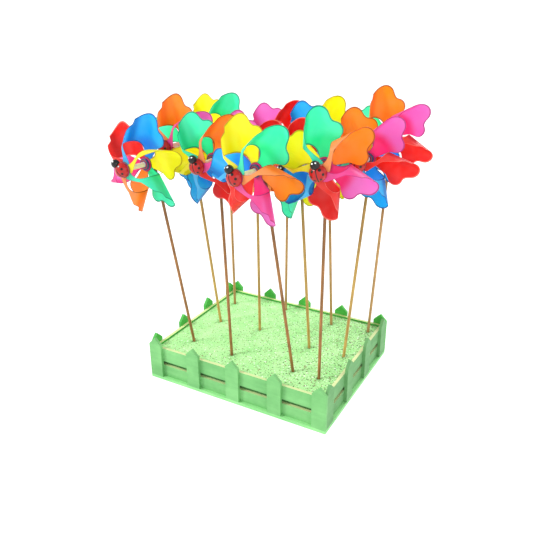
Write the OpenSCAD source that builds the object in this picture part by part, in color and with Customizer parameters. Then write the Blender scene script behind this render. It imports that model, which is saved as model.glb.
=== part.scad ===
// Whirligig stand: a fenced tray with a foam block that holds twelve ladybug pinwheels.
// Frame: +Z up, origin at the centre of the tray's underside, front of the tray toward -Y.
// A rotor's own frame: its axle lies along Y, its front faces -Y, and z = 0 is on the axle.

/* [Tray] */
// Length of the tray along its front
tray_w = 220; // [210:1:240]
// Depth of the tray from front to back
tray_d = 180; // [172:1:200]
// Thickness of the floor board
floor_t = 3.5; // [3:0.1:5]
// Thickness of the fence boards
board_t = 3.5; // [3:0.1:4.5]
// Height of the lower rails
lower_rail_h = 14.5; // [12:0.5:18]
// Height of the open slot between the rails
slot_h = 5; // [3:0.5:6]
// Height of the upper rails
upper_rail_h = 16.5; // [16:0.5:20]

/* [Pickets] */
// Width of one picket
picket_w = 16; // [12:0.5:20]
// Height of a picket's shoulders above the floor board
picket_shoulder = 40.5; // [38:0.5:46]
// Height of a picket's point above the floor board
picket_peak = 48.5; // [46:0.5:56]
// Number of pickets along the front, and as many along the back
front_pickets = 5; // [4:1:6]
// Number of pickets along each end
side_pickets = 4; // [3:1:5]

/* [Foam] */
// Height of the foam block
foam_h = 34; // [32:0.5:35]
// Depth that each stick is pushed into the foam
stick_depth = 28; // [20:1:30]

/* [Stick and axle] */
// Diameter of a stick
stick_dia = 3.2; // [3:0.1:4.5]
// Diameter of the wooden ball on a stick
ball_dia = 11; // [10:0.5:12]
// Diameter of the axle pin
pin_dia = 2; // [1.6:0.1:2.2]

/* [Rotor] */
// Distance from a rotor's middle to each layer of petal tabs
half_depth = 14; // [13:0.5:14.5]
// Thickness of the petal film
film_t = 0.35; // [0.3:0.05:0.35]
// Radius of a petal's round tab
tab_r = 7.5; // [7:0.1:7.7]
// Outer diameter of the sleeve that the petals sit on
sleeve_dia = 5; // [4.4:0.1:5.4]

/* [Ladybug] */
// Radius of the ladybug's wing case where it meets the rotor
bug_r = 8; // [7:0.1:8.5]
// Thickness of the ladybug's body
bug_h = 7.2; // [6.5:0.1:7.6]
// Diameter of the ladybug's head
head_dia = 8.4; // [7:0.1:9]

/* [Hidden] */
$fn = 64;
eps = 0.01;

fit_gap = 0.03;
run_gap = 0.05;
petal_count = 6;

// Heights and lengths in the tray.
rail_z = floor_t;
upper_rail_z = rail_z + lower_rail_h + slot_h;
foam_top = floor_t + foam_h;
rail_run_w = tray_w - 2 * board_t;
rail_run_d = tray_d - 4 * board_t;
side_run_d = tray_d - 2 * board_t;
foam_gap = 0.5;
foam_w = tray_w - 4 * board_t - 2 * foam_gap;
foam_d = tray_d - 4 * board_t - 2 * foam_gap;
// Each hole's seam line is turned about the hole's own axis, clear of its rim's ends.
hole_turn = 45;
hole_turn_step = 10;

// Stations along the axle, measured forward from the rotor's middle.
tab_step = film_t + 0.05;
stack_t = (petal_count - 1) * tab_step + film_t;
rear_face = -half_depth - film_t / 2;
rear_stack_end = rear_face + stack_t;
front_stack_end = half_depth - film_t / 2 + stack_t;
layer_gap = 0.08;
hub_disc_r = 6;
hub_disc_t = 2;
rear_collar_r = 4.5;
rear_collar_t = 1.2;
front_collar_r = 5.5;
front_collar_t = 1.2;
sleeve_rear = rear_face - layer_gap - rear_collar_t;
sleeve_front = front_stack_end + layer_gap + front_collar_t;
spacer_t = 1.8;
spacer_r = 2.3;
ball_r = ball_dia / 2;
ball_y = -sleeve_rear + 2 * run_gap + spacer_t + ball_r;
bug_base = sleeve_front + 0.3;
bug_sphere_r = (bug_r * bug_r + bug_h * bug_h) / (2 * bug_h);
pin_front = bug_base + 4;
pin_head_r = 2;
pin_head_t = 1;
stick_r = stick_dia / 2;
stick_stop = pin_dia / 2 + 1.2;

// A petal's developed bend: flat at both tabs, turned through two quarter bends.
bend_r = 10;
flat_t = 7;
petal_tip = 52;
lobe_a = [-8, 42.5, 9];
lobe_b = [6.5, 31, 7.5];
bite = [-20, 3.5, 15];
petal_reach = half_depth + 4;
sheet_low = tab_r + 1;
blade_points = [
    [-18, 5], [-18, lobe_a[1]], [lobe_a[0], lobe_a[1]], [0, 44], [2, 38.3],
    [lobe_b[0], lobe_b[1]], [13.8, 29], [7.5, 22], [3.5, 6.6], [0, 0], [-6, 0]
];
strip_points = [[-18, 5], [-18, lobe_a[1]], [-16, 33], [-11.4, 20], [2.7, 10], [6, 4], [0, 0], [-6, 0]];

// One row per pinwheel: foot x, foot y, ball x, ball y, ball z, heading of the
// rotor (degrees from -Y toward -X), clock angle of the red petal, and the
// ladybug's own turn, all set by hand so that no two rotors can touch.
stands = [
    [-75, -52, -95, -75, 251, 8, -35, -38],
    [-74, 3, -96, -8, 260, 7, 120, -17],
    [-20, -57, -37, -44, 255, -3, 160, -14],
    [-85, 54, -90, 58, 259, 8, 215, 0],
    [-21, 8, -32, 24, 245, 0, 50, 6],
    [-18, 70, -30, 96, 249, 3, 33, -8],
    [55, -54, 36, -81, 261, 8, 228, -18],
    [49, -1, 37, -7, 246, 0, 20, 5],
    [85, -53, 84, -49, 265, -13, 182, -15],
    [49, 62, 38, 60, 261, 4, -90, 0],
    [91, 0, 100, 26, 257, 0, 108, -10],
    [95, 66, 98, 93, 268, 2, 122, 4]
];

function foot(i) = [stands[i][0], stands[i][1], foam_top];
function ball_at(i) = [stands[i][2], stands[i][3], stands[i][4]];
function heading(i) = stands[i][5];
function lean_vec(i) = ball_at(i) - foot(i);
function two_digits(n) = str(n < 10 ? "0" : "", n);

// ---------------------------------------------------------------- tray

module tray_floor() {
    color("#98ea94")
        translate([-tray_w / 2, -tray_d / 2, 0])
            cube([tray_w, tray_d, floor_t]);
}

// Two boards, one above the other, with the slot between them.
module rail_pair(run, z_up) {
    for (z = [rail_z, upper_rail_z])
        translate([-run / 2, 0, z])
            cube([run, board_t, z == rail_z ? lower_rail_h : upper_rail_h]);
}

module rails_front() {
    color("#8ce08a")
        translate([0, -tray_d / 2 + board_t, 0])
            rail_pair(rail_run_w);
}

module rails_back() {
    color("#8ce08a")
        translate([0, tray_d / 2 - 2 * board_t, 0])
            rail_pair(rail_run_w);
}

module rails_left() {
    color("#7cc47a")
        translate([-tray_w / 2 + 2 * board_t, 0, 0])
            rotate([0, 0, 90])
                rail_pair(rail_run_d);
}

module rails_right() {
    color("#7cc47a")
        translate([tray_w / 2 - board_t, 0, 0])
            rotate([0, 0, 90])
                rail_pair(rail_run_d);
}

module picket() {
    translate([-picket_w / 2, board_t, 0])
        rotate([90, 0, 0])
            linear_extrude(board_t)
                polygon([
                    [0, 0],
                    [picket_w, 0],
                    [picket_w, picket_shoulder],
                    [picket_w / 2, picket_peak],
                    [0, picket_shoulder]
                ]);
}

module picket_row(run, count) {
    step = (run - picket_w) / (count - 1);
    for (i = [0 : count - 1])
        translate([-(run - picket_w) / 2 + i * step, 0, floor_t])
            picket();
}

module pickets_front() {
    color("#90e48e")
        translate([0, -tray_d / 2, 0])
            picket_row(tray_w, front_pickets);
}

module pickets_back() {
    color("#48c048")
        translate([0, tray_d / 2 - board_t, 0])
            picket_row(tray_w, front_pickets);
}

module pickets_left() {
    color("#48c048")
        translate([-tray_w / 2 + board_t, 0, 0])
            rotate([0, 0, 90])
                picket_row(side_run_d, side_pickets);
}

module pickets_right() {
    color("#7cb87a")
        translate([tray_w / 2, 0, 0])
            rotate([0, 0, 90])
                picket_row(side_run_d, side_pickets);
}

// ---------------------------------------------------------------- places

// Puts +Z along the stick, with the origin where the stick meets the foam's top.
module along_stick(i) {
    v = lean_vec(i);
    translate(foot(i))
        rotate([0, acos(v[2] / norm(v)), atan2(v[1], v[0])])
            children();
}

// Puts the origin on the ball's centre, facing the way that the rotor faces.
module at_ball(i) {
    translate(ball_at(i))
        rotate([0, 0, -heading(i)])
            children();
}

// Puts the origin on the rotor's middle.
module at_rotor(i) {
    at_ball(i)
        translate([0, -ball_y, 0])
            children();
}

// A cylinder along the axle between two stations measured forward.
module axle_rod(r, from, to) {
    translate([0, -from, 0])
        rotate([90, 0, 0])
            cylinder(r = r, h = to - from);
}

// ---------------------------------------------------------------- foam and sticks

module foam_block() {
    color("#c6ffb4")
        difference() {
            translate([-foam_w / 2, -foam_d / 2, floor_t])
                cube([foam_w, foam_d, foam_h]);
            for (i = [0 : len(stands) - 1])
                along_stick(i)
                    rotate([0, 0, hole_turn + i * hole_turn_step])
                        translate([0, 0, -stick_depth - 0.2])
                            cylinder(r = stick_r + run_gap, h = stick_depth + 5);
        }
}

module stick(i) {
    color("#b08a48")
        along_stick(i)
            translate([0, 0, -stick_depth])
                cylinder(r = stick_r, h = stick_depth + norm(lean_vec(i)) - stick_stop);
}

module ball_beads() {
    color("#e8c9a0")
        for (i = [0 : len(stands) - 1])
            difference() {
                translate(ball_at(i))
                    sphere(r = ball_r);
                at_ball(i)
                    axle_rod(pin_dia / 2 + fit_gap, -ball_dia, ball_dia);
                along_stick(i)
                    translate([0, 0, norm(lean_vec(i)) - ball_dia])
                        cylinder(r = stick_r + fit_gap, h = ball_dia - stick_stop + 0.05);
            }
}

module axle_pins() {
    color("#d8d8d0")
        for (i = [0 : len(stands) - 1])
            at_rotor(i) {
                axle_rod(pin_dia / 2, -ball_y - ball_r - 0.1, pin_front);
                axle_rod(pin_head_r, -ball_y - ball_r - 0.1 - pin_head_t, -ball_y - ball_r - 0.1);
            }
}

module spacer_rings() {
    color("#e8c9a0")
        for (i = [0 : len(stands) - 1])
            at_rotor(i)
                difference() {
                    axle_rod(spacer_r, sleeve_rear - run_gap - spacer_t, sleeve_rear - run_gap);
                    axle_rod(pin_dia / 2 + fit_gap, sleeve_rear - 2 * spacer_t, sleeve_rear);
                }
}

// ---------------------------------------------------------------- ladybug

// The wing case is a cap of a sphere, flat side toward the rotor.
module bug_cap(grow) {
    translate([0, -(bug_base + bug_h - bug_sphere_r), 0])
        sphere(r = bug_sphere_r + grow);
}

module ladybug_bodies() {
    color("#d3141c")
        for (i = [0 : len(stands) - 1])
            at_rotor(i)
                difference() {
                    intersection() {
                        bug_cap(0);
                        axle_rod(2 * bug_r, bug_base, bug_base + 2 * bug_h);
                    }
                    axle_rod(pin_dia / 2 + fit_gap, bug_base - 1, pin_front + 0.1);
                }
}

module ladybug_heads() {
    color("#141414")
        for (i = [0 : len(stands) - 1])
            at_rotor(i)
                rotate([0, stands[i][7], 0])
                    difference() {
                        translate([0, -(bug_base + head_dia * 0.46), bug_r * 0.98])
                            sphere(r = head_dia / 2);
                        bug_cap(fit_gap);
                        axle_rod(2 * bug_r, bug_base - 2 * head_dia, bug_base);
                    }
}

// ---------------------------------------------------------------- rotor

// The tube that the petals sit on, with a collar behind, a painted disc inside
// the rear tabs and a collar in front. The axle pin runs through it.
module hub(i) {
    at_rotor(i)
        difference() {
            union() {
                color("#f4e6c8") axle_rod(sleeve_dia / 2, sleeve_rear, sleeve_front);
                color("#f4e6c8") axle_rod(rear_collar_r, sleeve_rear, sleeve_rear + rear_collar_t);
                color("#1c2848")
                    axle_rod(hub_disc_r, rear_stack_end + layer_gap, rear_stack_end + layer_gap + hub_disc_t);
                color("#f4e6c8") axle_rod(front_collar_r, sleeve_front - front_collar_t, sleeve_front);
            }
            axle_rod(pin_dia / 2 + run_gap, sleeve_rear - 1, sleeve_front + 1);
        }
}

// One half of the bent sheet, for the rear: a flat, a quarter bend and half of
// the film's far side. The petal's length runs along z.
module half_sheet() {
    far_x = flat_t + bend_r;
    translate([-flat_t, half_depth - film_t / 2, -sheet_low])
        cube([flat_t + 16, film_t, sheet_low + petal_tip + 1]);
    translate([-far_x - film_t / 2, -eps, -sheet_low])
        cube([film_t, half_depth - bend_r + eps, sheet_low + petal_tip + 1]);
    intersection() {
        translate([-flat_t, half_depth - bend_r, -sheet_low])
            difference() {
                cylinder(r = bend_r + film_t / 2, h = sheet_low + petal_tip + 1);
                translate([0, 0, -1])
                    cylinder(r = bend_r - film_t / 2, h = sheet_low + petal_tip + 3);
            }
        translate([-flat_t - 2 * bend_r, half_depth - bend_r, -sheet_low])
            cube([2 * bend_r, 2 * bend_r, sheet_low + petal_tip + 1]);
    }
}

// A rod along the axle's direction at x and z, between two stations measured forward.
module rod_at(place, r, from, to) {
    translate([place[0], 0, place[1]])
        axle_rod(r, from, to);
}

// A flat outline in x and z, cut out along the axle between two stations.
module outline_slab(points, from, to) {
    translate([0, -from, 0])
        rotate([90, 0, 0])
            linear_extrude(to - from)
                polygon(points);
}

// What is kept of the bend's rear half: the blade with its two lobes, and the tab.
module rear_cutter() {
    difference() {
        union() {
            outline_slab(blade_points, -petal_reach, 0);
            rod_at(lobe_a, lobe_a[2], -petal_reach, 0);
            rod_at(lobe_b, lobe_b[2], -petal_reach, 0);
        }
        rod_at(bite, bite[2], -petal_reach - 1, 1);
    }
    axle_rod(tab_r, -petal_reach, -half_depth / 2);
}

// What is kept of the front half: a strip that narrows outward, and the tab.
module front_cutter() {
    difference() {
        outline_slab(strip_points, 0, petal_reach);
        rod_at(bite, bite[2], -1, petal_reach + 1);
    }
    axle_rod(tab_r, half_depth / 2, petal_reach);
}

module petal() {
    difference() {
        union() {
            intersection() {
                half_sheet();
                rear_cutter();
            }
            intersection() {
                mirror([0, 1, 0])
                    half_sheet();
                front_cutter();
            }
        }
        axle_rod(sleeve_dia / 2 + fit_gap, -petal_reach, petal_reach);
    }
}

petal_colors = ["#ff2a1a", "#1a9cff", "#fff31a", "#2ee6a0", "#ff8418", "#ff4fa8"];

// Six petals, each a layer further forward than the one before.
module petals(i) {
    at_rotor(i)
        for (k = [0 : petal_count - 1])
            color(petal_colors[k])
                rotate([0, stands[i][6] + k * 360 / petal_count, 0])
                    translate([0, -k * tab_step, 0])
                        petal();
}

// ---------------------------------------------------------------- build

tray_floor();
foam_block();
rails_front();
rails_back();
rails_left();
rails_right();
pickets_front();
pickets_back();
pickets_left();
pickets_right();
ball_beads();
axle_pins();
spacer_rings();
ladybug_bodies();
ladybug_heads();
for (i = [0 : len(stands) - 1]) {
    stick(i);
    hub(i);
    petals(i);
}
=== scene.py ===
"""The look of a whirligig stand: a fenced tray with foam that holds twelve ladybug pinwheels.

Lengths are in millimetres until a mesh is filled, which turns them into metres.
A rotor's own frame: x to the right as its front is faced, -y forward along the axle, z up.
"""

import logging
import math
from collections.abc import Callable, Iterable
from dataclasses import dataclass, field
from enum import Enum

import bmesh
import bpy
import numpy as np
from mathutils import Matrix, Vector


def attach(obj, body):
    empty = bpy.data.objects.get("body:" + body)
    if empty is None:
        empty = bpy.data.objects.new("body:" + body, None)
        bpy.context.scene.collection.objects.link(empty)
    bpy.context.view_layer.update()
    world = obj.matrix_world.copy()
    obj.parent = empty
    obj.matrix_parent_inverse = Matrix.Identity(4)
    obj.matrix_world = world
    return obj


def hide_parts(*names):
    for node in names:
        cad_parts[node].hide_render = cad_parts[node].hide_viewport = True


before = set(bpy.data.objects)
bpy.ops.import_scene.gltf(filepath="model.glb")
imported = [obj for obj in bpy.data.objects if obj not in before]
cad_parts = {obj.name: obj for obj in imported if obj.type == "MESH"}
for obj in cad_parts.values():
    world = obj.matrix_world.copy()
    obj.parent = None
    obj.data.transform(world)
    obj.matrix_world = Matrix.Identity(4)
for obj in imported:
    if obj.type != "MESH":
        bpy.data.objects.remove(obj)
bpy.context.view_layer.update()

log = logging.getLogger("whirligig")
MM = 0.001
STATIC = "stand"

Array = np.ndarray
Node = bpy.types.Node
Socket = bpy.types.NodeSocket


# ---------------------------------------------------------------- colours and finishes


def srgb(code: str) -> tuple[float, float, float]:
    """Turns a colour such as "#8ce08a" into linear red, green and blue.

    Args:
        code: Six hexadecimal digits after a hash.

    Returns:
        The linear colour.
    """
    parts = [int(code[i : i + 2], 16) / 255 for i in (1, 3, 5)]
    low = [c / 12.92 if c <= 0.04045 else ((c + 0.055) / 1.055) ** 2.4 for c in parts]
    return low[0], low[1], low[2]


def rgba(code: str) -> tuple[float, float, float, float]:
    """The same linear colour with full alpha."""
    return (*srgb(code), 1.0)


class Shades:
    """A node tree that grows by short calls, for one material."""

    def __init__(self, name: str) -> None:
        """Starts a material with a Principled shader on its output.

        Args:
            name: The material's name.
        """
        self.material = bpy.data.materials.new(name)
        self.material.use_nodes = True
        self.tree = self.material.node_tree
        self.shader = self.tree.nodes["Principled BSDF"]
        self.output = self.tree.nodes["Material Output"]

    def node(self, kind: str, **settings: object) -> Node:
        """Adds a node and sets its own properties.

        Args:
            kind: The node's type name.
            settings: Its own properties by name.

        Returns:
            The new node.
        """
        made = self.tree.nodes.new(kind)
        for key, value in settings.items():
            setattr(made, key, value)
        return made

    def link(self, start: Socket, end: Socket) -> None:
        """Joins two sockets."""
        self.tree.links.new(start, end)

    def set(self, **values: object) -> None:
        """Sets the shader's own sockets, with underscores for the spaces in their names."""
        for key, value in values.items():
            self.shader.inputs[key.replace("_", " ")].default_value = value

    def place(self, scale: tuple[float, float, float] = (1.0, 1.0, 1.0)) -> Socket:
        """Object coordinates in metres, stretched by scale.

        Args:
            scale: The stretch along each axis.

        Returns:
            The stretched coordinates.
        """
        coords = self.node("ShaderNodeTexCoord")
        mapping = self.node("ShaderNodeMapping")
        mapping.inputs["Scale"].default_value = scale
        self.link(coords.outputs["Object"], mapping.inputs["Vector"])
        return mapping.outputs["Vector"]

    def attribute(self, name: str, output: str = "Vector") -> Socket:
        """The value of one of the piece's own attributes."""
        return self.node("ShaderNodeAttribute", attribute_name=name).outputs[output]

    def noise(self, where: Socket, scale: float, detail: float = 3.0, rough: float = 0.55) -> Socket:
        """Noise of about 0 to 1 that repeats `scale` times in a metre.

        Args:
            where: The coordinates to read it at.
            scale: Repeats in a metre.
            detail: Octaves of finer noise.
            rough: How strong the finer octaves are.

        Returns:
            The noise value.
        """
        made = self.node("ShaderNodeTexNoise")
        made.inputs["Scale"].default_value = scale
        made.inputs["Detail"].default_value = detail
        made.inputs["Roughness"].default_value = rough
        self.link(where, made.inputs["Vector"])
        return made.outputs["Fac"]

    def ramp(self, value: Socket, stops: list[tuple[float, str]]) -> Socket:
        """A colour for a value.

        Args:
            value: What chooses the colour.
            stops: Places from 0 to 1 with their colours.

        Returns:
            The colour socket.
        """
        made = self.node("ShaderNodeValToRGB")
        bar = made.color_ramp
        bar.interpolation = "LINEAR"
        while len(bar.elements) < len(stops):
            bar.elements.new(0.5)
        for element, (place, code) in zip(bar.elements, stops):
            element.position = place
            element.color = rgba(code)
        self.link(value, made.inputs["Fac"])
        return made.outputs["Color"]

    def math(self, kind: str, a: Socket | float, b: Socket | float = 0.0, clamp: bool = False) -> Socket:
        """One arithmetic step on two values.

        Args:
            kind: The operation.
            a: The first value.
            b: The second value.
            clamp: Holds the result between 0 and 1.

        Returns:
            The result.
        """
        made = self.node("ShaderNodeMath", operation=kind, use_clamp=clamp)
        for socket, value in zip(made.inputs, (a, b)):
            if isinstance(value, (int, float)):
                socket.default_value = value
            else:
                self.link(value, socket)
        return made.outputs["Value"]

    def mix(self, share: Socket | float, a: Socket | str, b: Socket | str, blend: str = "MIX") -> Socket:
        """Two colours mixed by share, where each is a socket or a colour code.

        Args:
            share: 0 for all a, 1 for all b.
            a: The first colour.
            b: The second colour.
            blend: How they are combined.

        Returns:
            The mixed colour.
        """
        made = self.node("ShaderNodeMix", data_type="RGBA", blend_type=blend)
        if isinstance(share, (int, float)):
            made.inputs["Factor"].default_value = share
        else:
            self.link(share, made.inputs["Factor"])
        for socket, value in ((made.inputs[6], a), (made.inputs[7], b)):
            if isinstance(value, str):
                socket.default_value = rgba(value)
            else:
                self.link(value, socket)
        return made.outputs[2]

    def spread(self, value: Socket, low: float, high: float, to_low: float, to_high: float) -> Socket:
        """Carries a value from one range to another, held at the ends.

        Args:
            value: The value to carry over.
            low: The range's start.
            high: The range's end.
            to_low: What the start becomes.
            to_high: What the end becomes.

        Returns:
            The value in its new range.
        """
        made = self.node("ShaderNodeMapRange")
        for name, number in (("From Min", low), ("From Max", high), ("To Min", to_low), ("To Max", to_high)):
            made.inputs[name].default_value = number
        self.link(value, made.inputs["Value"])
        return made.outputs["Result"]

    def bump(self, height: Socket, strength: float, distance: float) -> None:
        """Raises the surface by a height of up to distance metres.

        Args:
            height: 0 to 1 over the surface.
            strength: The share of the effect that is used.
            distance: The height that 1 stands for, in metres.
        """
        made = self.node("ShaderNodeBump")
        made.inputs["Strength"].default_value = strength
        made.inputs["Distance"].default_value = distance
        self.link(height, made.inputs["Height"])
        self.link(made.outputs["Normal"], self.shader.inputs["Normal"])

    def colour(self, source: Socket) -> None:
        """Puts a colour on the shader."""
        self.link(source, self.shader.inputs["Base Color"])


@dataclass(frozen=True)
class PaintedBoard:
    """Thin plywood with a green stain, whose faces that look up turn toward a cream grain."""

    name: str
    light: str
    dark: str
    edge: str
    grain: tuple[float, float, float]

    def material(self) -> bpy.types.Material:
        """Builds the stain: soft clouds and a fine grain, with faces that look up turning toward a cream
        grain.

        Returns:
            The material for every board.
        """
        s = Shades(self.name)
        s.set(Roughness=0.62, Specular_IOR_Level=0.3)
        clouds = s.noise(s.place(), 38, 4)
        fibre = s.noise(s.place(self.grain), 130, 5, 0.65)
        tone = s.math("ADD", s.math("MULTIPLY", clouds, 0.6), s.math("MULTIPLY", fibre, 0.4))
        stain = s.ramp(s.spread(tone, 0.36, 0.64, 0, 1), [(0.0, self.dark), (1.0, self.light)])
        normal = s.node("ShaderNodeNewGeometry").outputs["Normal"]
        parts = s.node("ShaderNodeSeparateXYZ")
        s.link(normal, parts.inputs["Vector"])
        # Faces that look up go toward the cream colour with its grain.
        up = s.spread(parts.outputs["Z"], 0.93, 0.97, 0, 1)
        wood = s.mix(s.spread(fibre, 0.35, 0.65, 0, 1), self.edge, self.light)
        s.colour(s.mix(up, stain, s.mix(0.35, self.edge, wood)))
        s.bump(fibre, 0.25, 0.0003)
        return s.material


@dataclass(frozen=True)
class SpeckledFoam:
    """Pale green foam with fine dark, brown and white specks."""

    name: str = "speckled_foam"

    def material(self) -> bpy.types.Material:
        """Builds the foam: three sizes of speck, thicker toward the right end, and painted shade in the dents
        and on the sides.

        Returns:
            The material for the block.
        """
        s = Shades(self.name)
        s.set(Roughness=0.95, Specular_IOR_Level=0.12)
        where = s.place()
        base = s.ramp(s.noise(where, 60, 3), [(0.3, "#96d486"), (0.7, "#b0e69e")])
        parts = s.node("ShaderNodeSeparateXYZ")
        s.link(where, parts.inputs["Vector"])
        side = s.spread(parts.outputs["X"], -0.06, 0.1, 0.0, 1.0)
        colour = base
        for scale, code, low, high in (
            (560, "#4c5a34", 0.645, 0.61),
            (400, "#22381f", 0.675, 0.63),
            (470, "#7d4c40", 0.70, 0.65),
            (450, "#f0fce6", 0.68, 0.645),
        ):
            grains = s.noise(where, scale, 1.5, 0.4)
            limit = s.spread(side, 0, 1, low, high)
            share = s.spread(s.math("SUBTRACT", grains, limit), 0.0, 0.035, 0.0, 0.85)
            colour = s.mix(share, colour, code)
        # Painted shade: where the dent value is high, in the dents round the feet and on the block's sides,
        # the colour goes toward a deep green.
        dent = s.attribute("dent", "Fac")
        s.colour(s.mix(s.math("MULTIPLY", dent, 0.8, True), colour, "#2f6a34"))
        s.bump(s.noise(where, 700, 2), 0.5, 0.0006)
        return s.material


@dataclass(frozen=True)
class TurnedWood:
    """Bare wood with its grain along the stick."""

    name: str
    light: str
    dark: str
    top: str
    grain: tuple[float, float, float] = (1.0, 1.0, 0.06)
    rough: float = 0.5

    def material(self) -> bpy.types.Material:
        """Builds the grain: long streaks and cloudy patches, with painted shade on the end near the rotor.

        Returns:
            The material for sticks or balls.
        """
        s = Shades(self.name)
        s.set(Roughness=self.rough, Specular_IOR_Level=0.35)
        streaks = s.noise(s.place(self.grain), 900, 4, 0.6)
        patches = s.noise(s.place((1.0, 1.0, 0.35)), 70, 3)
        tone = s.math("ADD", s.math("MULTIPLY", streaks, 0.55), s.math("MULTIPLY", patches, 0.45))
        wood = s.ramp(s.spread(tone, 0.36, 0.64, 0, 1), [(0.0, self.dark), (1.0, self.light)])
        # Painted shade on the sticks: between 0.15 m and 0.24 m up, under the rotor, the wood goes toward the
        # darker top colour; the balls sit higher and all take 0.7 of their own top colour.
        parts = s.node("ShaderNodeSeparateXYZ")
        s.link(s.place(), parts.inputs["Vector"])
        high = s.spread(parts.outputs["Z"], 0.15, 0.24, 0.0, 0.7)
        s.colour(s.mix(high, wood, self.top))
        s.bump(streaks, 0.2, 0.0002)
        return s.material


@dataclass(frozen=True)
class PetalFilm:
    """Thin satin film that lets light through, in the tints that its mesh carries."""

    name: str = "petal_film"

    def material(self) -> bpy.types.Material:
        """Builds the film: the colours its mesh carries, with their painted sheen and shade, a soft sheen and
        a share of light from behind.

        Returns:
            The material for every petal.
        """
        s = Shades(self.name)
        s.set(Roughness=0.38, Specular_IOR_Level=0.28)
        tint = s.attribute("tint", "Color")
        cloud = s.noise(s.place(), 45, 2)
        shade = s.mix(s.spread(cloud, 0.35, 0.65, 0.0, 0.06), tint, "#ffffff")
        s.colour(shade)
        glow = s.node("ShaderNodeBsdfTranslucent")
        s.link(shade, glow.inputs["Color"])
        both = s.node("ShaderNodeMixShader")
        both.inputs["Fac"].default_value = 0.5
        s.link(s.shader.outputs[0], both.inputs[1])
        s.link(glow.outputs[0], both.inputs[2])
        s.link(both.outputs[0], s.output.inputs["Surface"])
        s.bump(s.noise(s.place(), 160, 2), 0.05, 0.0004)
        return s.material


@dataclass(frozen=True)
class Enamel:
    """Smooth paint on a small turned or moulded piece."""

    name: str
    code: str
    rough: float = 0.35
    metal: float = 0.0

    def material(self) -> bpy.types.Material:
        """Builds the paint with a slight unevenness in its colour and surface.

        Returns:
            The material for one colour of paint.
        """
        s = Shades(self.name)
        s.set(Roughness=self.rough, Metallic=self.metal, Specular_IOR_Level=0.5)
        cloud = s.noise(s.place(), 220, 3)
        patch = "#ffffff" if self.metal else "#8a7a60"
        s.colour(s.mix(s.spread(cloud, 0.3, 0.7, 0.0, 0.16), self.code, patch))
        s.bump(cloud, 0.08, 0.0002)
        return s.material


@dataclass(frozen=True)
class SpottedLacquer:
    """Glossy lacquer with round spots and a line, placed by the piece's own directions."""

    name: str
    ground: str
    spot: str
    spots: tuple[tuple[float, float, float, float], ...]
    line: float = 0.0

    def material(self) -> bpy.types.Material:
        """Builds the lacquer: each spot is where the direction is near the spot's own.

        Returns:
            The material for the wing cases.
        """
        s = Shades(self.name)
        s.set(Roughness=0.3, Specular_IOR_Level=0.3, Coat_Weight=0.3, Coat_Roughness=0.06)
        aim = s.attribute("aim")
        share: Socket | float = 0.0
        for x, y, z, radius in self.spots:
            near = s.node("ShaderNodeVectorMath", operation="DISTANCE")
            s.link(aim, near.inputs[0])
            near.inputs[1].default_value = (x, y, z)
            share = s.math("MAXIMUM", share, s.spread(near.outputs["Value"], radius - 0.03, radius, 1.0, 0.0))
        if self.line:
            parts = s.node("ShaderNodeSeparateXYZ")
            s.link(aim, parts.inputs["Vector"])
            across = s.math("ABSOLUTE", parts.outputs["X"])
            share = s.math("MAXIMUM", share, s.spread(across, self.line, self.line + 0.03, 1.0, 0.0))
        cloud = s.noise(s.place(), 300, 2)
        ground = s.mix(s.spread(cloud, 0.3, 0.7, 0.0, 0.12), self.ground, "#ff5030")
        s.colour(s.mix(share, ground if self.line else self.ground, self.spot))
        s.bump(cloud, 0.05, 0.0002)
        return s.material


# ---------------------------------------------------------------- meshes


@dataclass
class Surface:
    """Points, four-sided faces and the values that ride on the points."""

    points: Array
    faces: Array
    values: dict[str, Array] = field(default_factory=dict)
    dress: Array | None = None

    def flipped(self) -> "Surface":
        """The same surface seen from its other side."""
        return Surface(self.points, self.faces[:, ::-1], self.values, self.dress)

    def moved(self, change: Callable[[Array], Array]) -> "Surface":
        """The same surface with its points carried by a change."""
        return Surface(change(self.points), self.faces, self.values, self.dress)


def grid_faces(rows: int, columns: int, closed: bool = False) -> Array:
    """The faces of a grid of points, numbered row by row.

    Args:
        rows: How many rows of points.
        columns: How many points in a row.
        closed: True where the last column joins the first.

    Returns:
        One row of four point numbers for each face.
    """
    r, c = np.meshgrid(np.arange(rows - 1), np.arange(columns if closed else columns - 1), indexing="ij")
    after = (c + 1) % columns
    quads = [r * columns + c, r * columns + after, (r + 1) * columns + after, (r + 1) * columns + c]
    return np.stack(quads, axis=-1).reshape(-1, 4)


def joined(parts: Iterable[Surface]) -> Surface:
    """One surface made of several, each kept as its own shell.

    Args:
        parts: The surfaces to put together.

    Returns:
        One surface with all their points, faces and attributes.
    """
    every = list(parts)
    starts = np.cumsum([0] + [len(p.points) for p in every[:-1]])
    values = {k: np.concatenate([p.values[k] for p in every]) for k in every[0].values}
    dress = None
    if every[0].dress is not None:
        dress = np.concatenate([p.dress for p in every])
    return Surface(
        np.concatenate([p.points for p in every]),
        np.concatenate([p.faces + start for p, start in zip(every, starts)]),
        values,
        dress,
    )


def lathe(profile: Array, count: int = 48) -> Surface:
    """A profile turned once round the axle.

    A profile point (a, r) becomes (r sin t, -a, r cos t) for t from 0 to a full turn.

    Args:
        profile: Rows of station measured forward, and radius. It starts and ends on the
            axle or closes on itself.
        count: Points round the axle.

    Returns:
        The turned surface, its faces outward for a profile that runs from the rear to the front.
    """
    turn = np.linspace(0, 2 * math.pi, count, endpoint=False)
    a, r = profile[:, :1], profile[:, 1:2]
    points = np.stack([r * np.sin(turn), -a + 0 * turn, r * np.cos(turn)], axis=-1)
    return Surface(points.reshape(-1, 3), grid_faces(len(profile), count, closed=True))


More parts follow.
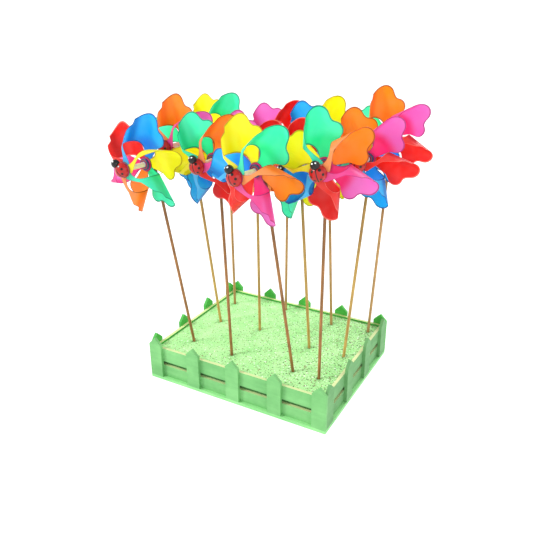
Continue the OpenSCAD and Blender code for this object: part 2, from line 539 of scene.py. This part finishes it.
def fill(
    name: str, surface: Surface, materials: list[bpy.types.Material], smooth: bool = True
) -> bpy.types.Object:
    """Puts a surface into a new object at the origin, in metres, with doubled points merged.

    Args:
        name: The piece's name.
        surface: What it is made of.
        materials: Its materials, which the surface's dress chooses between.
        smooth: True for smooth shading.

    Returns:
        The object.
    """
    mesh = bpy.data.meshes.new(name)
    mesh.from_pydata((surface.points * MM).tolist(), [], surface.faces.tolist())
    for key, value in surface.values.items():
        flat = np.asarray(value, np.float32)
        if flat.ndim == 1:
            mesh.attributes.new(key, "FLOAT", "POINT").data.foreach_set("value", flat)
        elif flat.shape[1] == 4:
            mesh.attributes.new(key, "FLOAT_COLOR", "POINT").data.foreach_set("color", flat.ravel())
        else:
            mesh.attributes.new(key, "FLOAT_VECTOR", "POINT").data.foreach_set("vector", flat.ravel())
    for one in materials:
        mesh.materials.append(one)
    if surface.dress is not None:
        mesh.polygons.foreach_set("material_index", np.asarray(surface.dress, np.int32))
    mesh.polygons.foreach_set("use_smooth", np.full(len(mesh.polygons), smooth))
    whole = bmesh.new()
    whole.from_mesh(mesh)
    bmesh.ops.remove_doubles(whole, verts=whole.verts, dist=1e-6)
    whole.to_mesh(mesh)
    whole.free()
    mesh.update()
    made = bpy.data.objects.new(name, mesh)
    bpy.context.scene.collection.objects.link(made)
    return made


# ---------------------------------------------------------------- places


@dataclass(frozen=True)
class Stand:
    """One pinwheel's place: its foot on the foam, its ball, and how it is turned.

    heading is in degrees from -y toward -x, red is the red petal's clock angle,
    and turn is the ladybug's own turn about the axle.
    """

    foot: tuple[float, float]
    ball: tuple[float, float, float]
    heading: float
    red: float
    turn: float

    def out(self, points: Array) -> Array:
        """Carries points from the rotor's own frame to the object's.

        The frame is moved back by the ball's distance, turned by -heading about z, and moved to the ball.

        Args:
            points: Points in the rotor's frame.

        Returns:
            The same points in the object's frame.
        """
        h = math.radians(self.heading)
        x, y, z = points[:, 0], points[:, 1] - BALL_BEHIND, points[:, 2]
        turned = np.stack([x * math.cos(h) + y * math.sin(h), -x * math.sin(h) + y * math.cos(h), z], axis=-1)
        return turned + np.array(self.ball)


def rolled(points: Array, degrees: float) -> Array:
    """Turns points clockwise about the axle, as the front is faced.

    Args:
        points: Points in the rotor's frame.
        degrees: The clockwise angle.

    Returns:
        The turned points.
    """
    a = math.radians(degrees)
    x, y, z = points.T
    return np.stack([x * math.cos(a) + z * math.sin(a), y, -x * math.sin(a) + z * math.cos(a)], axis=-1)


BALL_BEHIND = 22.855
HALF_DEPTH = 14.0
TAB_STEP = 0.4
BUG_BASE = 17.755
FOAM_TOP = 37.5

STANDS = (
    Stand((-75, -52), (-95, -75, 251), 8, -35, -38),
    Stand((-74, 3), (-96, -8, 260), 7, 120, -17),
    Stand((-20, -57), (-37, -44, 255), -3, 160, -14),
    Stand((-85, 54), (-90, 58, 259), 8, 215, 0),
    Stand((-21, 8), (-32, 24, 245), 0, 50, 6),
    Stand((-18, 70), (-30, 96, 249), 3, 33, -8),
    Stand((55, -54), (36, -81, 261), 8, 228, -18),
    Stand((49, -1), (37, -7, 246), 0, 20, 5),
    Stand((85, -53), (84, -49, 265), -13, 182, -15),
    Stand((49, 62), (38, 60, 261), 4, -90, 0),
    Stand((91, 0), (100, 26, 257), 0, 108, -10),
    Stand((95, 66), (98, 93, 268), 2, 122, 4),
)


# ---------------------------------------------------------------- petals


class PetalHue(Enum):
    """A petal's colours: painted shade in the fold, plain on the blade, painted sheen on the strip and on the
    lobes, then a painted edge line.
    """

    RED = ("#d00c0a", "#f0241a", "#f4443a", "#f22a20", "#ff9484")
    BLUE = ("#1468c8", "#1ca6fa", "#5cd0fc", "#24c8ff", "#0c68b8")
    YELLOW = ("#f0e000", "#fffa0c", "#fff848", "#fffc18", "#c8b400")
    GREEN = ("#1ad89a", "#30f6b4", "#58f4d4", "#58fcd2", "#0ea284")
    ORANGE = ("#f47406", "#ff9c18", "#fcb068", "#ffa826", "#b85c08")
    PINK = ("#ec1a80", "#f83692", "#f868b8", "#f48cdc", "#c03490")

    def tints(self, tone: Array, out: Array, edge: Array) -> Array:
        """Colours for points of a petal.

        Args:
            tone: 0 at the rear tab to 1 at the front tab.
            out: 0 at the hub to 1 at the tip.
            edge: 1 on the film's cut edge and 0 inside it.

        Returns:
            A row of four numbers for each point: blade colour with painted sheen on the lobes, painted shade
                through the fold, painted sheen on the strip and a painted line on the cut edge.
        """
        deep, plain, pale, tip, line = (np.array(srgb(code)) for code in self.value)
        # Painted sheen: the lobes turn to the lighter tip colour.
        lobe = smooth(out, 0.42, 0.62)[:, None]
        blade = plain * (1 - lobe) + tip * lobe
        # Painted shade: the fold goes toward the deep colour.
        fold = (smooth(tone, 0.30, 0.45) * (1 - smooth(tone, 0.50, 0.62)))[:, None] * 0.55
        # Painted sheen: the front strip turns pale.
        strip = smooth(tone, 0.52, 0.66)[:, None]
        mixed = blade * (1 - fold) + deep * fold
        mixed = mixed * (1 - strip) + pale * strip
        # Painted light and shade on the cut edge: a line lighter on the red petal and darker on the others.
        mixed = mixed * (1 - edge[:, None]) + line * edge[:, None]
        return np.concatenate([mixed, np.ones((len(tone), 1))], axis=1)


def smooth(value: Array, low: float, high: float) -> Array:
    """The smooth step 3t^2 - 2t^3 of a value between two limits."""
    t = np.clip((value - low) / (high - low), 0, 1)
    return t * t * (3 - 2 * t)


def arc(centre: tuple[float, float], radius: float, start: float, end: float, count: int = 24) -> Array:
    """Points on a circle between two angles in degrees, counterclockwise from +x."""
    t = np.radians(np.linspace(start, end, count))
    return np.stack([centre[0] + radius * np.cos(t), centre[1] + radius * np.sin(t)], axis=-1)


@dataclass
class BentPetal:
    """One petal: a film with two round tabs, bent over so that both sit on the sleeve.

    The film is a ribbon round the bite that the bend leaves at the hub. Its flat shape is
    given by s along the bend, from the rear tab's middle, and w outward from the axle.
    """

    tab: float = 7.5
    bend_start: float = 5.0
    bulge: float = 12.0
    power: float = 2.5
    film: float = 0.35
    along: int = 120
    across: int = 14

    def path(self) -> tuple[Array, Array, Array]:
        """The bend seen along w: s, x and y.

        Between the flats, x = -bend_start - bulge sin(p)^(2/power) and
        y = half_depth cos(p)^(2/power), for p from 0 at the rear to pi at the front.

        Returns:
            Three matched arrays, with s at 0 in the middle of the rear tab.
        """
        p = np.linspace(0, math.pi, 801)
        c, n = np.cos(p), np.sin(p)
        x = -self.bend_start - self.bulge * np.abs(n) ** (2 / self.power)
        y = HALF_DEPTH * np.sign(c) * np.abs(c) ** (2 / self.power)
        x = np.concatenate([[20.0], x, [20.0]])
        y = np.concatenate([[HALF_DEPTH], y, [-HALF_DEPTH]])
        s = np.concatenate([[0], np.cumsum(np.hypot(np.diff(x), np.diff(y)))]) - 20.0
        return s, x, y

    def flat(self, outline: Array, front: bool) -> Array:
        """Turns an outline seen from the front, in x and w, into s and w on one half of the bend.

        Args:
            outline: Points in x and w.
            front: True for the half at the front.

        Returns:
            The same points in s and w.
        """
        s, x, _ = self.path()
        middle = int(np.argmin(x))
        if front:
            place = np.interp(outline[:, 0], x[middle:], s[middle:])
        else:
            place = np.interp(-outline[:, 0], -x[: middle + 1], s[: middle + 1])
        return np.stack([place, outline[:, 1]], axis=-1)

    def edges(self) -> tuple[Array, Array]:
        """The ribbon's inner and outer edges, matched point by point, in s and w.

        Returns:
            The inner edge and the outer edge.
        """
        fold = -self.bend_start - self.bulge
        bite = arc((-20, 3.5), 15, 7.5, 78.4)
        inner = [
            self.flat(arc((0, 0), self.tab, 250, 133.2), False),
            self.flat(bite, False),
            self.flat(bite[::-1], True),
            self.flat(arc((0, 0), self.tab, 133.2, 250), True),
        ]
        blade = np.concatenate(
            [
                [[3.5, 6.6], [7.4, 21.5], [12.0, 26.4]],
                arc((6.7, 31.5), 7.5, -25, 84),
                [[5.4, 39.3], [3.6, 40.2], [1.8, 42.6]],
                arc((-8, 42.5), 9, 22, 178),
                [[fold, 42.3]],
            ]
        )
        strip = np.array([[fold, 37.7], [-16, 33], [-11.4, 20], [2.7, 10], [6, 4]])
        outer = [
            self.flat(arc((0, 0), self.tab, -70, 62), False),
            self.flat(blade, False),
            self.flat(strip, True),
            self.flat(arc((0, 0), self.tab, 41, -70), True),
        ]
        counts = [int(self.along * share) for share in (0.12, 0.48, 0.28, 0.12)]
        return (
            np.concatenate([even(part, count) for part, count in zip(inner, counts)]),
            np.concatenate([even(part, count) for part, count in zip(outer, counts)]),
        )

    def surface(self, hue: PetalHue, clock: float, forward: float) -> Surface:
        """The bent film as a closed thin shell.

        Args:
            hue: The petal's colours.
            clock: Its angle about the axle in degrees.
            forward: How far its tabs are moved forward in the stack.

        Returns:
            Both faces of the film and its rim, in the rotor's frame.
        """
        inner, outer = self.edges()
        inside = np.linspace(0.05, 0.95, self.across - 4)
        share = np.concatenate([[0, 0.022], inside, [0.978, 1]])[None, :, None]
        flat = inner[:, None, :] * (1 - share) + outer[:, None, :] * share
        s, w = flat[..., 0], flat[..., 1]
        path_s, path_x, path_y = self.path()
        x, y = np.interp(s, path_s, path_x), np.interp(s, path_s, path_y)
        step = 0.4
        tx = np.interp(s + step, path_s, path_x) - np.interp(s - step, path_s, path_x)
        ty = np.interp(s + step, path_s, path_y) - np.interp(s - step, path_s, path_y)
        size = np.hypot(tx, ty)
        normal = np.stack([-ty / size, tx / size, 0 * w], axis=-1)
        middle = np.stack([x, y, w], axis=-1)
        rows, columns = s.shape
        sides = [middle + normal * self.film / 2, middle - normal * self.film / 2]
        points = np.concatenate([side.reshape(-1, 3) for side in sides])
        one = grid_faces(rows, columns)
        count = rows * columns
        number = np.arange(count).reshape(rows, columns)
        loop = np.concatenate([number[0, :-1], number[:-1, -1], number[-1, :0:-1], number[:0:-1, 0]])
        after = np.roll(loop, -1)
        rim = np.stack([after, loop, loop + count, after + count], axis=-1)
        faces = np.concatenate([one, one[:, ::-1] + count, rim])
        total = path_s[-1] - 20.0
        tone, out = np.clip(s / total, 0, 1).ravel(), (np.hypot(x, w) / 52).ravel()
        # Painted light and shade on the film's cut edge: the two outer columns on each side.
        edge = np.zeros((rows, columns))
        edge[:, [0, 1, -2, -1]] = 0.9
        tint = hue.tints(tone, out, edge.ravel())
        points[:, 1] -= forward
        # Painted shade: the film's second face is 3% darker.
        both = np.concatenate([tint, tint * [0.97, 0.97, 0.97, 1]])
        return Surface(rolled(points, clock), faces, {"tint": both})


def even(line: Array, count: int) -> Array:
    """Points spread evenly along a line, without its last one.

    Args:
        line: Points in order.
        count: How many to return.

    Returns:
        The spread points.
    """
    run = np.concatenate([[0], np.cumsum(np.hypot(*np.diff(line, axis=0).T))])
    place = np.linspace(0, run[-1], count, endpoint=False)
    return np.stack([np.interp(place, run, line[:, 0]), np.interp(place, run, line[:, 1])], axis=-1)


@dataclass
class Rotor:
    """Six petals on one sleeve."""

    number: int
    stand: Stand
    petal: BentPetal = field(default_factory=BentPetal)

    def petals(self, film: bpy.types.Material) -> bpy.types.Object:
        """Builds the six petals, each a step further forward than the last.

        Args:
            film: The petals' material.

        Returns:
            The piece that stands for the CAD petals.
        """
        shells = [
            self.petal.surface(hue, self.stand.red + 60 * k, k * TAB_STEP)
            for k, hue in enumerate(PetalHue)
        ]
        made = fill(f"petal_set_{self.number:02d}", joined(shells).moved(self.stand.out), [film])
        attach(made, f"rotor_{self.number:02d}")
        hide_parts(f"petals_{self.number:02d}")
        return made

    def sleeve(self, paints: list[bpy.types.Material]) -> bpy.types.Object:
        """Builds the sleeve with its collars and painted disc: rings from the rim inward.

        Args:
            paints: One material for each paint number in the rings.

        Returns:
            The piece that stands for the CAD hub.
        """
        rings = [
            (-15.4, 1.05, 0), (-15.45, 1.1, 0), (-15.45, 4.1, 0), (-15.15, 4.5, 0), (-14.5, 4.5, 0),
            (-14.26, 4.3, 0), (-14.26, 2.5, 0), (-11.7, 2.5, 1), (-11.7, 5.7, 1), (-11.45, 6.0, 1),
            (-10.0, 6.0, 1), (-9.745, 5.7, 1), (-9.745, 4.6, 2), (-9.6, 4.5, 2), (-9.6, 3.6, 3),
            (-9.745, 3.5, 3), (-9.745, 2.9, 4), (-9.5, 2.5, 0), (13.6, 2.5, 0), (16.26, 2.5, 2),
            (16.26, 5.2, 2), (16.5, 5.5, 1), (17.2, 5.5, 1), (17.455, 5.2, 1), (17.455, 1.1, 4),
            (17.4, 1.05, 4),
        ]
        profile = np.array([(a, r) for a, r, _ in rings])
        ring = lathe(np.concatenate([profile, profile[:1]]), 56)
        wear = np.repeat([d for _, _, d in rings], 56)
        ring.dress = wear
        made = fill(f"sleeve_{self.number:02d}", ring.flipped().moved(self.stand.out), paints, smooth=False)
        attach(made, f"rotor_{self.number:02d}")
        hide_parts(f"hub_{self.number:02d}")
        return made


# ---------------------------------------------------------------- ladybugs


@dataclass
class Ladybug:
    """The bug on a pin's front end: a wing case and a head."""

    radius: float = 8.0
    height: float = 7.2
    head: float = 4.2
    rows: int = 28
    columns: int = 64

    def wing_case(self, stand: Stand) -> Surface:
        """A dome with a groove down its back and a flat underside.

        Over polar angle p and turn t the dome is R (sin p sin t, -cos p, sin p cos t)
        from the sphere's centre, less a groove 0.35 exp(-(x / 0.5)^2) deep.

        Args:
            stand: The pinwheel it sits on.

        Returns:
            The dome as a closed surface.
        """
        ball = (self.radius**2 + self.height**2) / (2 * self.height)
        limit = math.acos((ball - self.height) / ball)
        p = np.linspace(0.0, limit, self.rows)[:, None]
        t = np.linspace(0, 2 * math.pi, self.columns, endpoint=False)[None, :]
        aim = np.stack([np.sin(p) * np.sin(t), -np.cos(p) + 0 * t, np.sin(p) * np.cos(t)], axis=-1)
        depth = 0.35 * np.exp(-((aim[..., 0] * ball / 0.5) ** 2)) * (1 - (p / limit) ** 6)
        shell = aim * (ball - depth)[..., None]
        shell[..., 1] -= BUG_BASE + self.height - ball
        under = shell[-1] * [0.0, 1.0, 0.0]
        points = np.concatenate([shell.reshape(-1, 3), under])
        aims = np.concatenate([aim.reshape(-1, 3), aim[-1]])
        faces = grid_faces(self.rows + 1, self.columns, closed=True)
        case = Surface(rolled(points, stand.turn), faces, {"aim": aims})
        return case.moved(stand.out)

    def skull(self, stand: Stand) -> Surface:
        """A ball at the wing case's upper edge, a little wider than it is tall.

        Args:
            stand: The pinwheel it sits on.

        Returns:
            The ball as a closed surface.
        """
        p = np.linspace(0.0, math.pi, self.rows)[:, None]
        t = np.linspace(0, 2 * math.pi, self.columns, endpoint=False)[None, :]
        aim = np.stack([np.sin(p) * np.sin(t), -np.cos(p) + 0 * t, np.sin(p) * np.cos(t)], axis=-1)
        points = aim.reshape(-1, 3) * [self.head, self.head * 0.98, self.head * 0.98]
        points = points + [0.0, -(BUG_BASE + self.head * 0.92), self.radius * 0.98]
        faces = grid_faces(self.rows, self.columns, closed=True)
        return Surface(rolled(points, stand.turn), faces, {"aim": aim.reshape(-1, 3)}).moved(stand.out)

    def build(self, lacquer: bpy.types.Material, ink: bpy.types.Material) -> list[bpy.types.Object]:
        """Builds all twelve wing cases as one piece and the heads as another.

        Args:
            lacquer: The wing cases' material.
            ink: The heads' material.

        Returns:
            The two pieces.
        """
        cases = fill("wing_cases", joined(self.wing_case(s) for s in STANDS), [lacquer])
        heads = fill("bug_heads", joined(self.skull(s) for s in STANDS), [ink])
        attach(cases, STATIC)
        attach(heads, STATIC)
        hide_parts("ladybug_bodies")
        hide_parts("ladybug_heads")
        return [cases, heads]


# ---------------------------------------------------------------- tray


@dataclass
class FoamBlock:
    """The foam in the tray, with a dent round each stick's foot."""

    width: float = 205.0
    depth: float = 165.0
    low: float = 3.5
    high: float = FOAM_TOP
    step: float = 1.25
    dent: float = 0.9
    dent_size: float = 3.6

    def build(self, finish: bpy.types.Material) -> bpy.types.Object:
        """Builds the block.

        The top is z = high - dent sum exp(-(d / dent_size)^2) less a faint unevenness,
        where d is the distance to a foot, and the sides drop from its edge to the floor.

        Args:
            finish: The foam's material.

        Returns:
            The piece that stands for the CAD block.
        """
        nx, ny = int(self.width / self.step), int(self.depth / self.step)
        x = np.linspace(-self.width / 2, self.width / 2, nx)
        y = np.linspace(-self.depth / 2, self.depth / 2, ny)
        gy, gx = np.meshgrid(y, x, indexing="ij")
        feet = np.array([s.foot for s in STANDS])
        away = np.hypot(gx[..., None] - feet[:, 0], gy[..., None] - feet[:, 1])
        near = np.exp(-((away / self.dent_size) ** 2)).sum(axis=-1)
        rng = np.random.default_rng(7)
        rough = rng.random((ny, nx)) * 0.12
        z = self.high - self.dent * near - rough
        top = np.stack([gx, gy, z], axis=-1).reshape(-1, 3)
        number = np.arange(nx * ny).reshape(ny, nx)
        loop = np.concatenate([number[0, :-1], number[:-1, -1], number[-1, :0:-1], number[:0:-1, 0]])
        # A ring just under the top edge, where the painted shade of the sides begins.
        lip = top[loop] - [0, 0, 0.4]
        foot = top[loop] * [1, 1, 0] + [0, 0, self.low]
        rim = np.arange(len(loop)) + nx * ny
        base = rim + len(loop)
        bands = [(loop, rim), (rim, base)]
        sides = np.concatenate([np.stack([a, b, np.roll(b, -1), np.roll(a, -1)], axis=-1) for a, b in bands])
        points = np.concatenate([top, lip, foot])
        # Painted shade: up to 0.6 in the dents round the feet on the top, and full shade on the lip, sides
        # and underside for the shadow in the gap behind the fence.
        values = {"dent": np.concatenate([np.clip(near, 0, 1).ravel() * 0.6, np.ones(2 * len(loop))])}
        faces = np.concatenate([grid_faces(ny, nx), sides])
        centre = base + len(loop)
        points = np.concatenate([points, foot * [0, 0, 1]])
        values["dent"] = np.append(values["dent"], np.ones(len(loop)))
        under = np.stack([base, centre, np.roll(centre, -1), np.roll(base, -1)], axis=-1)
        faces = np.concatenate([faces, under])
        made = fill("foam_top", Surface(points, faces, values), [finish], smooth=False)
        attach(made, STATIC)
        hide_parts("foam_block")
        return made


class FenceSideLighting(Enum):
    """The fence's sides, each with its own copy of one green stain: painted light makes the front lighter,
    painted shade makes the back and left darker and the right greyer.
    """

    # One green paint on every side; the stain colours differ only by painted light and shade.
    FRONT = ("front", "#80c47a", "#66aa64", "#d0d89c", (0.08, 1.0, 1.0))
    BACK = ("back", "#50b84c", "#3c9c3a", "#d0dc98", (0.08, 1.0, 1.0))
    LEFT = ("left", "#52b84e", "#3c9e3c", "#d0dc98", (1.0, 0.08, 1.0))
    RIGHT = ("right", "#76b072", "#60985e", "#d0d89c", (1.0, 0.08, 1.0))

    def board(self) -> PaintedBoard:
        """This side's copy of the stain, with the painted light and shade of that side."""
        side, light, dark, edge, grain = self.value
        return PaintedBoard(f"stain_{side}", light, dark, edge, grain)


def dress_node(node: str, material: bpy.types.Material) -> None:
    """Gives a CAD node a material of its own.

    Args:
        node: The CAD node.
        material: What it is made of.
    """
    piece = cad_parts[node]
    piece.data.materials.clear()
    piece.data.materials.append(material)


@dataclass
class Tray:
    """The floor board and the fence round it."""

    def dress(self) -> None:
        """Dresses the floor, the rails and the pickets."""
        floor = PaintedBoard("stain_floor", "#98dc90", "#7cc67a", "#94d88e", (0.08, 1, 1))
        dress_node("tray_floor", floor.material())
        for fence in FenceSideLighting:
            stain = fence.board().material()
            dress_node(f"rails_{fence.value[0]}", stain)
            dress_node(f"pickets_{fence.value[0]}", stain)


@dataclass
class Sticks:
    """The sticks with their balls, pins and spacers."""

    def dress(self) -> None:
        """Dresses the wood: brown sticks in the front row and yellower ones behind."""
        brown = TurnedWood("stick_brown", "#b07c44", "#6c4826", "#5a3a1e").material()
        olive = TurnedWood("stick_olive", "#c8a458", "#94743a", "#7a5a28").material()
        tan = TurnedWood("stick_tan", "#c49c64", "#946c3c", "#7a5630").material()
        for number, stand in enumerate(STANDS, 1):
            x, y = stand.foot
            dress_node(f"stick_{number:02d}", brown if y < -30 else olive if y < 30 else tan)
        ball = TurnedWood("ball_wood", "#f0d4b0", "#d8b080", "#e6c498", (1.0, 0.2, 1.0), 0.42).material()
        dress_node("ball_beads", ball)
        dress_node("spacer_rings", ball)
        dress_node("axle_pins", Enamel("pin_steel", "#c8c8c4", 0.3, 0.9).material())


# ---------------------------------------------------------------- studio


@dataclass
class Studio:
    """The pale floor, the soft lights and the camera."""

    camera_at: tuple[float, float, float] = (0.2991, -0.5455, 0.3926)
    back: tuple[float, float, float] = (0.44994, -0.80225, 0.39237)
    roll: float = -0.32
    lens: float = 40.71

    def floor(self) -> bpy.types.Object:
        """Builds the floor as one wide round dish whose rim rises all round as a backdrop.

        The dish is (r cos t, r sin t, z) for radii r out to 7 m, where z climbs with the last metre.

        Returns:
            The floor, which is no part of the object.
        """
        turn = np.linspace(0, 2 * math.pi, 96, endpoint=False)
        radius = np.array([0.0, 1500, 5200, 5700, 6200, 6600, 6850, 6950, 7000])[:, None]
        rise = np.array([0.0, 0, 0, 60, 260, 700, 1500, 2600, 5200])[:, None]
        dish = np.stack([radius * np.cos(turn), radius * np.sin(turn), rise - 0.2 + 0 * turn], axis=-1)
        shape = Surface(dish.reshape(-1, 3), grid_faces(9, 96, closed=True))
        paint = Shades("pale_floor")
        paint.set(Base_Color=(0.4, 0.4, 0.4, 1.0), Roughness=0.9, Specular_IOR_Level=0.0)
        paint.set(Emission_Color=(1.0, 1.0, 1.0, 1.0), Emission_Strength=0.8)
        made = fill("floor", shape, [paint.material])
        return made

    def light(self, name: str, at: tuple[float, float, float], size: float, power: float) -> None:
        """Adds one soft square light that looks at the rotors.

        Args:
            name: The light's name.
            at: Its place in metres.
            size: Its side in metres.
            power: Its strength in watts.
        """
        lamp = bpy.data.lights.new(name, "AREA")
        lamp.size = size
        lamp.energy = power
        made = bpy.data.objects.new(name, lamp)
        made.location = at
        made.rotation_mode = "QUATERNION"
        made.rotation_quaternion = (Vector((0, 0, 0.18)) - Vector(at)).to_track_quat("-Z", "Y")
        bpy.context.scene.collection.objects.link(made)

    def build(self) -> None:
        """Builds the studio."""
        self.floor()
        world = bpy.data.worlds.new("pale_room")
        bpy.context.scene.world = world
        world.use_nodes = True
        world.node_tree.nodes["Background"].inputs["Color"].default_value = (1, 1, 1, 1)
        world.node_tree.nodes["Background"].inputs["Strength"].default_value = 0.62
        self.light("key", (-1.3, -1.1, 1.5), 0.5, 30)
        self.light("fill", (1.6, -0.9, 0.9), 1.2, 5)
        self.light("rear", (0.3, 1.5, 1.2), 1.2, 26)
        view = bpy.context.scene.view_settings
        view.view_transform = "Standard"
        lens = bpy.data.cameras.new("camera")
        lens.sensor_width = 36.0
        lens.lens = self.lens
        lens.clip_start, lens.clip_end = 0.05, 20.0
        camera = bpy.data.objects.new("camera", lens)
        back = Vector(self.back).normalized()
        right = Vector((0, 0, 1)).cross(back).normalized()
        up = back.cross(right)
        r = math.radians(self.roll)
        turned = right * math.cos(r) + up * math.sin(r)
        turned_up = back.cross(turned)
        camera.matrix_world = Matrix(
            (
                (turned.x, turned_up.x, back.x, self.camera_at[0]),
                (turned.y, turned_up.y, back.y, self.camera_at[1]),
                (turned.z, turned_up.z, back.z, self.camera_at[2]),
                (0, 0, 0, 1),
            )
        )
        bpy.context.scene.collection.objects.link(camera)
        bpy.context.scene.camera = camera


def spots_on_back() -> tuple[tuple[float, float, float, float], ...]:
    """Three spots on each wing, as directions with a radius, mirrored across the back line."""
    one_side = ((0.42, -0.80, 0.42, 0.19), (0.66, -0.72, -0.12, 0.17), (0.34, -0.72, -0.60, 0.16))
    return tuple((side * x, y, z, r) for x, y, z, r in one_side for side in (-1, 1))


def main() -> None:
    """Builds and dresses the object."""
    logging.basicConfig(level=logging.INFO, format="%(name)s: %(message)s")
    Studio().build()
    Tray().dress()
    log.info("dressed the tray")
    foam = FoamBlock().build(SpeckledFoam().material())
    log.info("built %s", foam.name)
    Sticks().dress()
    log.info("dressed the sticks")
    lacquer = SpottedLacquer("bug_lacquer", "#ac080e", "#0c0c0c", spots_on_back(), 0.045).material()
    eyes = ((-0.38, -0.74, 0.55, 0.19), (0.38, -0.74, 0.55, 0.19))
    ink = SpottedLacquer("bug_ink", "#0d0d0f", "#f6f6f2", eyes).material()
    for piece in Ladybug().build(lacquer, ink):
        log.info("built %s", piece.name)
    film = PetalFilm().material()
    paints = [
        Enamel("ring_cream", "#f4e6c8").material(),
        Enamel("ring_navy", "#1c3a6a").material(),
        Enamel("ring_red", "#a02030").material(),
        Enamel("ring_black", "#101014").material(),
        Enamel("ring_violet", "#7a58b8").material(),
    ]
    for number, stand in enumerate(STANDS, 1):
        rotor = Rotor(number, stand)
        petals = rotor.petals(film)
        sleeve = rotor.sleeve(paints)
        log.info("built %s and %s, %d points", petals.name, sleeve.name, len(petals.data.vertices))


if __name__ == "__main__":
    main()
